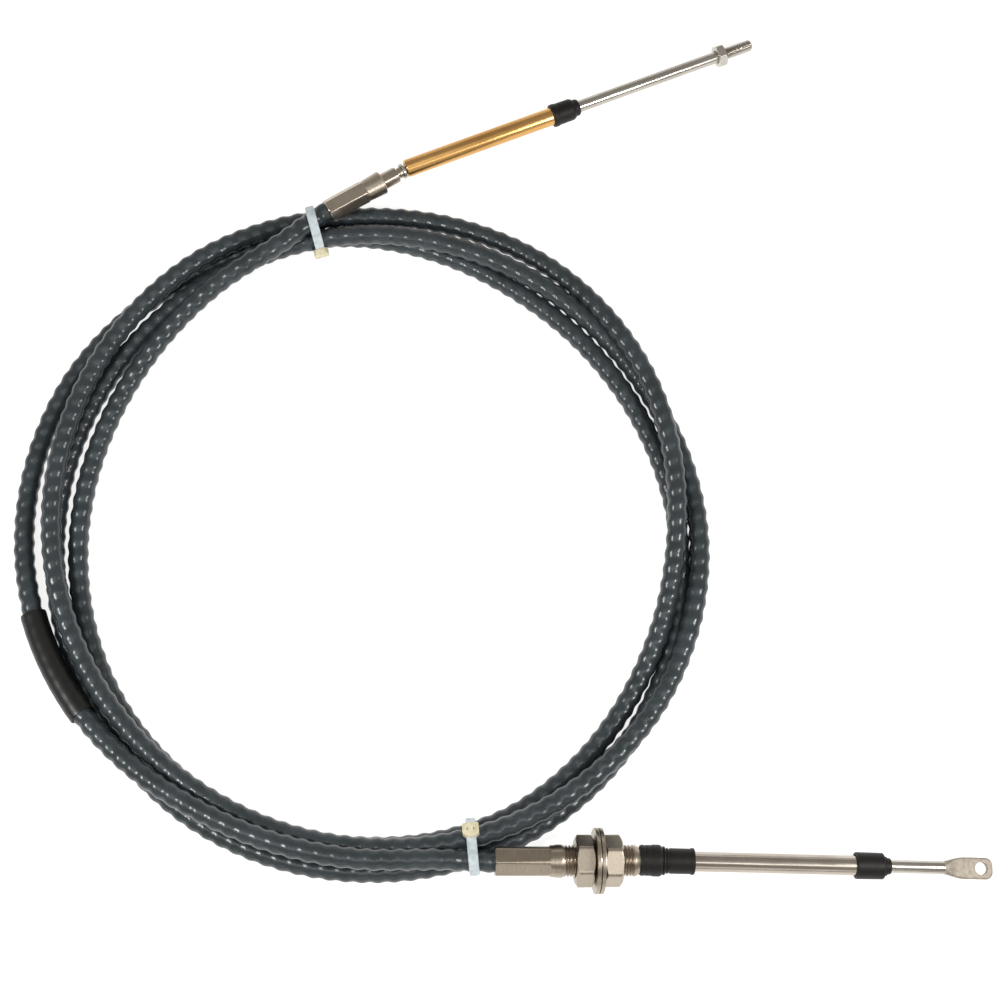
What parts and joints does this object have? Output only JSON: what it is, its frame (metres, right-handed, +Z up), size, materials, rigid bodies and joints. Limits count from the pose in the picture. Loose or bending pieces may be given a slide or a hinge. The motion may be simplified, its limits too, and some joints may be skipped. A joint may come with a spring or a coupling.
{
  "type": "push-pull control cable",
  "caption": "Coiled push-pull control cable with ribbed jacket, swivelling support tubes, bulkhead fitting and sliding rods.",
  "frame": {"origin": "middle of the footprint, on the floor that the coil lies on", "axes": "+Z up from the floor, +X towards the two fittings' tips, +Y from fitting B to fitting A"},
  "size_m": [0.4894, 0.461, 0.0319],
  "materials": {
    "conduit_jacket": "dark slate-grey extruded plastic, semi-gloss, spirally ribbed",
    "sleeve_black": "black shrink tube, satin",
    "nylon": "natural nylon, slightly translucent",
    "hub_steel": "plated steel, satin, slightly warm",
    "nut_steel": "stainless steel, bright machined",
    "tube_steel": "stainless tube, polished along its length",
    "rod_steel": "stainless rod, ground bright",
    "brass": "drawn brass tube, bright",
    "rubber": "black moulded rubber, satin"
  },
  "bodies": {
    "cable_body": {"conduit": "conduit_jacket", "label_sleeve": "sleeve_black", "cable_tie_top": "nylon", "cable_tie_bottom": "nylon", "hub_a": "hub_steel", "swivel_ring_a": "hub_steel", "hub_b": "hub_steel", "bulkhead_nut_1": "nut_steel", "washer_1": "nut_steel", "washer_2": "nut_steel", "bulkhead_nut_2": "nut_steel", "boot_b": "rubber"},
    "swivel_tube_a": {"support_tube_a": "brass", "wiper_a": "rubber"},
    "push_rod_a": {"rod_a": "rod_steel", "jam_nut_a": "rod_steel"},
    "swivel_tube_b": {"support_tube_b": "tube_steel", "wiper_b": "rubber"},
    "push_rod_b": {"rod_b": "rod_steel"}
  },
  "joints": [
    {"name": "swivel_a", "type": "hinge", "parent": "cable_body", "child": "swivel_tube_a", "pos_m": [-0.04436, 0.14802, 0.01798], "axis": [0, 0, 1], "range_deg": [-1.1, 18.9]},
    {"name": "rod_a_slide", "type": "slide", "parent": "swivel_tube_a", "child": "push_rod_a", "axis": [0.9181, 0.3916, -0.061], "range_m": [-0.05, 0.026]},
    {"name": "swivel_b", "type": "hinge", "parent": "cable_body", "child": "swivel_tube_b", "pos_m": [0.0792, -0.21451, 0.01363], "axis": [0, 0, 1], "range_deg": [-8.3, 11.7], "deforming": ["boot_b"]},
    {"name": "rod_b_slide", "type": "slide", "parent": "swivel_tube_b", "child": "push_rod_b", "axis": [0.9982, -0.0227, -0.0558], "range_m": [-0.026, 0.05]}
  ],
  "couplings": [
    {"joint": "rod_b_slide", "follows": "rod_a_slide", "ratio": -1}
  ]
}
